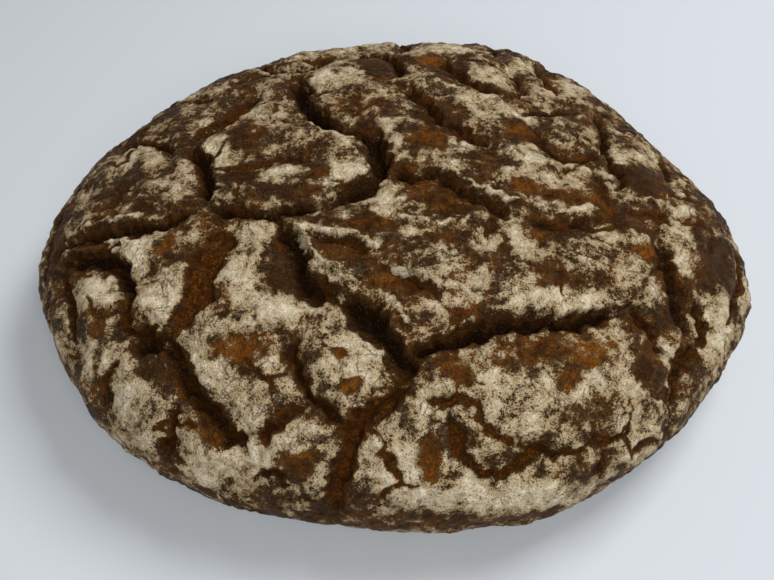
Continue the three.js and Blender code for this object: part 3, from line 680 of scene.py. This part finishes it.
# %% Faces of the crust
side_quads = []
upper = rim
for level in range(SIDE_RINGS):
    lower = grid_side**2 + level * rim_count + np.arange(rim_count)
    side_quads.append(np.stack([lower, np.roll(lower, -1), np.roll(upper, -1), upper], axis=1))
    upper = lower
grid_corners = [top_number[:-1, :-1], top_number[:-1, 1:], top_number[1:, 1:], top_number[1:, :-1]]
top_quads = np.stack(grid_corners, axis=-1).reshape(-1, 4)
crust_quads = np.concatenate([*side_quads, top_quads])
print(len(crust_quads), "faces on the crust")

# %% Rings under the loaf
# Each ring: its size over the last ring of the crust, and 2 where it has half the points of the one before.
BASE_RINGS = [(0.985, 1), (0.96, 2), (0.92, 2), (0.86, 2), (0.78, 1)]
BASE_RINGS += [(0.68, 1), (0.56, 2), (0.42, 1), (0.28, 2), (0.14, 1)]
last_ring = lower
ring = last_ring
places = [crust_place]
base_quads, base_triangles = [], []
next_number = len(crust_place)
for share, halving in BASE_RINGS:
    if len(ring) % 2:
        halving = 1
    skipped = rim_count * halving // len(ring)
    inner_place = crust_place[last_ring][::skipped] * [share, share, 1]
    inner = next_number + np.arange(len(inner_place))
    next_number += len(inner)
    places.append(inner_place)
    if halving == 1:
        base_quads.append(np.stack([ring, inner, np.roll(inner, -1), np.roll(ring, -1)], axis=1))
    else:
        even, odd, after = ring[::2], ring[1::2], np.roll(ring, -2)[::2]
        base_triangles.append(np.stack([even, inner, odd], axis=1))
        base_triangles.append(np.stack([odd, inner, np.roll(inner, -1)], axis=1))
        base_triangles.append(np.stack([odd, np.roll(inner, -1), after], axis=1))
    ring = inner
places.append(np.zeros((1, 3)))
base_triangles.append(np.stack([ring, np.full(len(ring), next_number), np.roll(ring, -1)], axis=1))
places = np.concatenate(places)
base_quads = np.concatenate(base_quads)
base_triangles = np.concatenate(base_triangles)
print(len(places), "points,", len(crust_quads) + len(base_quads) + len(base_triangles), "faces")

# %% [markdown]
# ## The mesh
#
# A mesh can be built a face at a time, which is easy to follow and far too slow for one this size. Blender
# takes large meshes fastest as plain lists of numbers: the points, then the corners of every face, then
# where each face starts.

# %% Build the mesh
corners = np.concatenate([crust_quads.ravel(), base_quads.ravel(), base_triangles.ravel()])
quad_count = len(crust_quads) + len(base_quads)
face_sizes = np.concatenate([np.full(quad_count, 4), np.full(len(base_triangles), 3)])
face_starts = np.concatenate([[0], np.cumsum(face_sizes)[:-1]])
mesh = bpy.data.meshes.new("baked loaf")
mesh.vertices.add(len(places))
mesh.vertices.foreach_set("co", (places * MM).astype(np.float32).ravel())
mesh.loops.add(len(corners))
mesh.loops.foreach_set("vertex_index", corners.astype(np.int32))
mesh.polygons.add(len(face_starts))
mesh.polygons.foreach_set("loop_start", face_starts.astype(np.int32))
mesh.polygons.foreach_set("use_smooth", np.ones(len(face_starts), bool))
mesh.update(calc_edges=True)
if mesh.validate():
    raise RuntimeError("the loaf's mesh has a bad face")

baked_loaf = bpy.data.objects.new("baked_loaf", mesh)
bpy.context.scene.collection.objects.link(baked_loaf)
print("baked_loaf has", len(mesh.polygons), "faces")

# %% [markdown]
# ## What the shader needs to know
#
# A shader sees only one point at a time and can't measure how far away a tear is. The numbers found above,
# such as how much burn and painted shade darken a point, are therefore stored on the mesh under names that
# the shader can look up.
# Flour is the most worked one: it thins near the tears and on steep ground, and it lies thick along the
# lips, where its pale line is also a painted highlight on their crests.

# %% How steep each point is
normals = np.empty(len(places) * 3, np.float32)
mesh.vertex_normals.foreach_get("vector", normals)
facing_out = (normals.reshape(-1, 3)[: len(map_x)] * outward(map_x, map_y)).sum(axis=1)
steep = ease(0.12, 0.5, 1 - facing_out)
print("%.0f%% of the crust points are steep" % (100 * steep.mean()))


# %% Store what the shader needs
BASE_FILM, UNDERSIDE_FLOUR = 0.3, 0.75  # flour at the foot of the crust, and under the loaf


def store(name, crust_values, base_value):
    """Stores one number per point of the mesh under a name that the shader can read."""
    values = np.full(len(places), base_value, np.float32)
    values[: len(map_x)] = crust_values
    mesh.attributes.new(name, "FLOAT", "POINT").data.foreach_set("value", values)


# The edge of the flour wanders by some hills of its own.
for wander, size, seed in ((1.3, 14, 71), (1.1, 5, 72), (0.6, 2.2, 73)):
    bare_room += wander * hills(map_x, map_y, size, seed)
flour_left = (flour + 0.15 * skin) * ease(-0.4, 0.6, bare_room) * (1 - 0.5 * steep) * (1 - net_crack)

# The lips carry a pale line of flour on their crests, which is also a painted highlight, with a gap here and
# there, and all the flour thins to a film at the base.
lip_flour_and_highlight = 0.9 * ease(0.45, 0.95, lip) * ease(-1.1, -0.2, hills(map_x, map_y, 7, 75))
flour_left = soften(np.maximum(flour_left, lip_flour_and_highlight))
near_base = ease(0.9, 0.99, crust_share)
flour_left += (BASE_FILM - flour_left) * near_base
store("flour", flour_left, UNDERSIDE_FLOUR)
store("tear", 1 - ease(-1, 2, bare_room), 0)
# Burn and painted shade in the fissure floors, darker the deeper they are.
store("burn_and_depth_shade", burn_and_depth_shade, 0)
store("rust", rust * on_floor, 0)
store("rich", rich * (1 - in_tear), 0)
store("steep", steep, 0)
store("plum", np.clip(plum, 0, 1), 0)
store("crack", net_crack, 0)

# %% [markdown]
# ## A map for textures
#
# Programs that read the finished loaf paint it with flat pictures, and need each point's place on them.
# Blender can unwrap a mesh by itself, but the crust is already laid out as a square, so that square is its
# map. The underside takes a strip above it.

# %% Lay out the texture map
EDGE = 0.005  # margin round the picture, as a share of its side
CRUST_STRIP, BASE_STRIP = (EDGE, 0.79), (0.805, 1 - EDGE)
crust_uv = np.stack([square_a, square_b], axis=1) / 2 + 0.5
base_spread = places[:, :2] / (2 * np.array([HALF_LENGTH, HALF_WIDTH])) + 0.5
layout = np.zeros((len(corners), 2), np.float32)
crust_corners = crust_quads.size
layout[:crust_corners] = crust_uv[corners[:crust_corners]]
layout[crust_corners:] = base_spread[corners[crust_corners:]]
layout[:, 0] = EDGE + (1 - 2 * EDGE) * layout[:, 0]
for part, (bottom, top) in ((layout[:crust_corners], CRUST_STRIP), (layout[crust_corners:], BASE_STRIP)):
    part[:, 1] = bottom + (top - bottom) * part[:, 1]
mesh.uv_layers.new(name="OFBake").data.foreach_set("uv", layout.ravel())
print("the map runs from %.3f to %.3f" % (layout.min(), layout.max()))

# %% [markdown]
# ## Writing shaders as sums
#
# A shader is a web of nodes, and maths in it is hard to read as a web. This small class wraps a node's
# output, so that Python's own signs add the Math nodes: `1 - mask` makes a subtract node. Colours are
# blended with Mix nodes, because a Math node would turn them grey. Any other node comes from the one method
# `node`.


# %% A wire between nodes
class Wire:
    """A node's output. Sums on it add Math nodes to the tree."""

    tree = None

    def __init__(self, socket):
        self.socket = socket

    @classmethod
    def node(cls, kind, settings=None, inputs=None, output=0):
        """Adds a node, sets it, then fills or links its sockets."""
        made = cls.tree.nodes.new(kind)
        for name, value in (settings or {}).items():
            setattr(made, name, value)
        for name, value in (inputs or {}).items():
            if isinstance(value, Wire):
                cls.tree.links.new(value.socket, made.inputs[name])
            else:
                made.inputs[name].default_value = value
        return cls(made.outputs[output]) if made.outputs else None

    @classmethod
    def sum(cls, operation, first, second):
        """One Math node on two values or wires."""
        return cls.node("ShaderNodeMath", {"operation": operation}, {0: first, 1: second})

    def __add__(self, other):
        return self.sum("ADD", self, other)

    def __sub__(self, other):
        return self.sum("SUBTRACT", self, other)

    def __rsub__(self, other):
        return self.sum("SUBTRACT", other, self)

    def __mul__(self, other):
        return self.sum("MULTIPLY", self, other)

    __radd__ = __add__
    __rmul__ = __mul__

    def rise(self, low, high):
        """0 below `low`, 1 above `high`, and a smooth rise between."""
        settings = {"interpolation_type": "SMOOTHSTEP"}
        sockets = {"Value": self, "From Min": low, "From Max": high}
        return self.node("ShaderNodeMapRange", settings, sockets)

    def blend(self, without, within):
        """The first colour where this is 0, and the second where it is 1."""
        sockets = {0: self, 6: without, 7: within}
        return self.node("ShaderNodeMix", {"data_type": "RGBA"}, sockets, output=2)


def new_material(name):
    """A material with an empty tree, which becomes the one that nodes are added to."""
    material = bpy.data.materials.new(name)
    material.use_nodes = True
    material.node_tree.nodes.clear()
    Wire.tree = material.node_tree
    return material


def colour(red, green, blue):
    """A colour given as it looks on a screen, 0 to 255, as the light values that shaders use."""
    shown = np.array([red, green, blue]) / 255
    light = np.where(shown <= 0.04045, shown / 12.92, ((shown + 0.055) / 1.055) ** 2.4)
    return (*(float(part) for part in light), 1.0)


# %% [markdown]
# ## The crust's finish
#
# Three things lie over each other. The bare crust is dark, from plum grey to red-brown, a little glossier
# than the rest and amber where it blistered. The torn crumb is rough and orange-brown, and it is painted
# darker the deeper it lies, for burnt crust and for painted shade. The flour is a pale, dull powder. A
# material for each would meet the next in a hard line, so one material blends all three by masks. All three
# are uneven at every size, so the material starts with noise at four sizes, in the loaf's own space, and
# with the numbers stored on the mesh.

# %% Start the crust material
crust_finish = new_material("floured rye crust")
where = Wire.node("ShaderNodeTexCoord", output=3)


def grain(size, detail=2.0, roughness=0.6):
    """Noise with hills about `size` mm apart, spread over 0 to 1."""
    sockets = {"Vector": where, "Scale": 1 / (size * MM), "Detail": detail, "Roughness": roughness}
    return Wire.node("ShaderNodeTexNoise", {}, sockets)


def stored(name):
    """A number stored on the mesh."""
    return Wire.node("ShaderNodeAttribute", {"attribute_name": name}, output=2)


flour_there, tear, burn_and_shade_there, rust_there = stored("flour"), stored("tear"), stored("burn_and_depth_shade"), stored("rust")
rich_there, steepness, crack, plum_there = stored("rich"), stored("steep"), stored("crack"), stored("plum")

patchy = grain(15, 8, 0.66)
blotchy = grain(4.5, 5, 0.66)
speckled = grain(1.4, 3, 0.7)
fine = grain(0.6, 1)
print(len(Wire.tree.nodes), "nodes to start from")

# %% [markdown]
# ## Where the flour shows
#
# A dusting doesn't fade smoothly: it is either there or not, grain by grain. The stored amount alone would
# give an even haze, so noise is added to it, and a steep rise turns the sum into a patch with a crisp,
# ragged edge. Round it lies a thin film, and further out single specks. Pinholes and a few hairline cracks
# break the thick flour. The cracks are the borders of cells whose places have been pushed about, so that
# they don't look like a tiled floor.

# %% The powder's mask
amount = flour_there + (patchy - 0.5) * 2.2 + (blotchy - 0.5) * 1.7 + (speckled - 0.5) * 1.6
solid = amount.rise(0.5, 0.55)
film = amount.rise(0.15, 0.6) * 0.24 * speckled.rise(0.4, 0.6)
specks = ((flour_there - 0.3) * 0.5 + (speckled - 0.5) * 2.0 + (fine - 0.5) * 2.0).rise(0.2, 0.27)
powder = Wire.sum("MAXIMUM", Wire.sum("MAXIMUM", solid, film), specks * 0.9)
pinholes = ((fine - 0.5) * 1.6 + (speckled - 0.5) * 1.8 + (0.8 - amount) * 0.4).rise(0.18, 0.27)

push = {"Vector": where, "Scale": 1 / (9 * MM), "Detail": 6}
push = Wire.node("ShaderNodeTexNoise", {}, push, output=1)
push = Wire.node("ShaderNodeVectorMath", {"operation": "SCALE"}, {0: push, "Scale": 14 * MM})
pushed = Wire.node("ShaderNodeVectorMath", {"operation": "ADD"}, {0: where, 1: push})
border = {"Vector": pushed, "Scale": 1 / (13 * MM)}
border = Wire.node("ShaderNodeTexVoronoi", {"feature": "DISTANCE_TO_EDGE"}, border)
hairline = (1 - border.rise(0.006, 0.026)) * grain(16, 3).rise(0.51, 0.57) * 0.5
powder = powder * (1 - pinholes * 0.9) * (1 - hairline)
print(len(Wire.tree.nodes), "nodes with the powder's mask")

# %% [markdown]
# ## Bare crust and torn crumb
#
# One ramp of colours could follow only one noise, so each colour is laid over the one before by a mask of
# its own, as a painter glazes. The bare crust goes from dark to chestnut in blotches, with dark freckles,
# amber blisters and plum-grey stretches. The crumb is brown on the walls and rusty on some floors. The
# floors of deep fissures are painted nearly black, for burnt crust and for painted shade, and the fine
# cracks come last.

# %% Colours under the flour
bare = (patchy * 0.6 + blotchy * 0.4).rise(0.44, 0.56)
bare = bare.blend(colour(50, 28, 8), colour(130, 74, 17))
bare = speckled.rise(0.4, 0.65).blend(bare, colour(47, 25, 8))
amber = rich_there * (blotchy + patchy).rise(0.7, 1.15) * (1 - speckled.rise(0.42, 0.62) * 0.75)
bare = amber.blend(bare, colour(150, 88, 18))
bare = (fine.rise(0.45, 0.6) * 0.5).blend(bare, colour(44, 24, 8))
bare = (steepness * 0.6).blend(bare, colour(67, 41, 14))
bare = (plum_there * (1 - rich_there) * blotchy.rise(0.3, 0.6)).blend(bare, colour(58, 40, 23))

walls = blotchy.rise(0.35, 0.65).blend(colour(42, 23, 7), colour(106, 60, 18))
walls = (plum_there * 0.85).blend(walls, colour(46, 30, 17))
rusty = speckled.rise(0.38, 0.58).blend(colour(124, 70, 17), colour(62, 34, 11))
crumb = (rust_there + (blotchy - 0.5) * 1.6).rise(0.1, 0.8).blend(walls, rusty)
crumb = (fine.rise(0.52, 0.64) * 0.6).blend(crumb, colour(40, 19, 4))

under = tear.blend(bare, crumb)
# Painted shade: the floors of deep fissures go nearly black, for burnt crust and for the shade that falls in
# them.
under = (burn_and_shade_there * 0.9 * (1 - rust_there * 0.7)).blend(under, colour(16, 8, 3))
under = hairline.blend(under, colour(56, 32, 10))
under = (crack * 0.7).blend(under, colour(60, 32, 8))
print(len(Wire.tree.nodes), "nodes with the colours under the flour")

# %% [markdown]
# ## Flour, gloss and fine relief
#
# Thick flour is a creamy white and thin flour a dusty tan, and both have freckles. Flour is dull, and bare
# crust shines a little, with the warm tint of browned sugar. The finest relief would take millions more
# faces, so a bump gives it: the blotches, the freckles, the grains of flour and the edge of the powder.

# %% Finish the crust material
flour_shade = amount.rise(0.5, 1.5).blend(colour(174, 149, 108), colour(240, 229, 204))
flour_shade = (speckled.rise(0.5, 0.64) * 0.6).blend(flour_shade, colour(142, 117, 74))
flour_shade = (fine.rise(0.5, 0.62) * 0.4).blend(flour_shade, colour(252, 244, 222))
painted = powder.blend(under, flour_shade)

roughness = 0.5 + powder * 0.42 + tear * 0.2 - rich_there * 0.1
height = blotchy * 1.4 + speckled * 1.3 + fine * 0.5 + powder * 0.8 - hairline
bumps = Wire.node("ShaderNodeBump", {}, {"Strength": 1.0, "Distance": 1.8 * MM, "Height": height})
crust_sockets = {
    "Base Color": painted,
    "Roughness": roughness,
    "Normal": bumps,
    "Specular IOR Level": 0.15,
    "Specular Tint": colour(255, 192, 120),
}
crust_shader = Wire.node("ShaderNodeBsdfPrincipled", {}, crust_sockets)
Wire.node("ShaderNodeOutputMaterial", {}, {"Surface": crust_shader})
mesh.materials.append(crust_finish)
print(crust_finish.name, "has", len(crust_finish.node_tree.nodes), "nodes")

# %% [markdown]
# ## The table and the light
#
# The loaf lies on a plain pale table. Its light comes from a large window, high at the back right, so
# shadows fall softly to the front left. A second lamp, high at the front, stands for a pale wall that
# throws light back into them, and the room's own light is weak and a little warm. A large lamp gives a soft
# shadow and a small one a hard shadow, so both are over half a metre wide. A picture of a real room could
# light the loaf too, but two lamps are easier to aim.

# %% Set the table and the light
bpy.ops.mesh.primitive_plane_add(size=20, location=(0, 0, 0))
table = bpy.context.object
table.name = "table"
table_finish = new_material("pale table")
matt_paint = {"Base Color": colour(194, 201, 211), "Roughness": 0.8}
matt_paint = Wire.node("ShaderNodeBsdfPrincipled", {}, matt_paint)
Wire.node("ShaderNodeOutputMaterial", {}, {"Surface": matt_paint})
table.data.materials.append(table_finish)


def soft_light(name, place, size, watts, tint):
    """A square lamp of a size in metres, turned to face the loaf."""
    lamp = bpy.data.lights.new(name, "AREA")
    lamp.size = size
    lamp.energy = watts
    lamp.color = tint
    holder = bpy.data.objects.new(name, lamp)
    holder.location = place
    holder.rotation_euler = (-Vector(place)).to_track_quat("-Z", "Y").to_euler()
    bpy.context.scene.collection.objects.link(holder)
    print("%s: %.1f W, %.2f m from the loaf" % (name, watts, Vector(place).length))


soft_light("window", (0.7, 0.5, 1.25), 0.7, 17.5, (1.0, 0.98, 0.94))
soft_light("pale wall", (0.1, -1.05, 1.1), 0.9, 15.5, (1.0, 0.98, 0.93))
world = bpy.data.worlds.new("room light")
world.use_nodes = True
room = world.node_tree.nodes["Background"]
room.inputs["Color"].default_value = (1.0, 0.98, 0.93, 1)
room.inputs["Strength"].default_value = 0.18
bpy.context.scene.world = world
bpy.context.scene.view_settings.view_transform = "Standard"

# %% [markdown]
# ## The camera
#
# The camera stands close in front of the loaf and looks down on it steeply, so that the near side looms a
# little. It is placed by what it looks at, how far off it is and how high it stands, because those are
# easier to judge than a place and three turns.

# %% Place the camera
CAMERA_AIM = Vector((-2.2, -36.3, 38.0)) * MM
CAMERA_DISTANCE = 423 * MM
CAMERA_RISE = np.radians(50)  # how far above level it stands, seen from its aim
LENS_ANGLE = np.radians(46)  # how wide it sees
lens = bpy.data.cameras.new("camera")
lens.angle = LENS_ANGLE
lens.clip_start = 0.01
camera = bpy.data.objects.new("camera", lens)
away = Vector((0, -np.cos(CAMERA_RISE), np.sin(CAMERA_RISE))) * CAMERA_DISTANCE
camera.location = CAMERA_AIM + away
camera.rotation_euler = (-away).to_track_quat("-Z", "Y").to_euler()
bpy.context.scene.collection.objects.link(camera)
bpy.context.scene.camera = camera
print("camera at", (np.array(camera.location) / MM).round(), "mm")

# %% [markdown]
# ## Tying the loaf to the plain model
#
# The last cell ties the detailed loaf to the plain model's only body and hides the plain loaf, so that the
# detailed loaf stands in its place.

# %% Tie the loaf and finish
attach(baked_loaf, "root")
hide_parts("loaf")
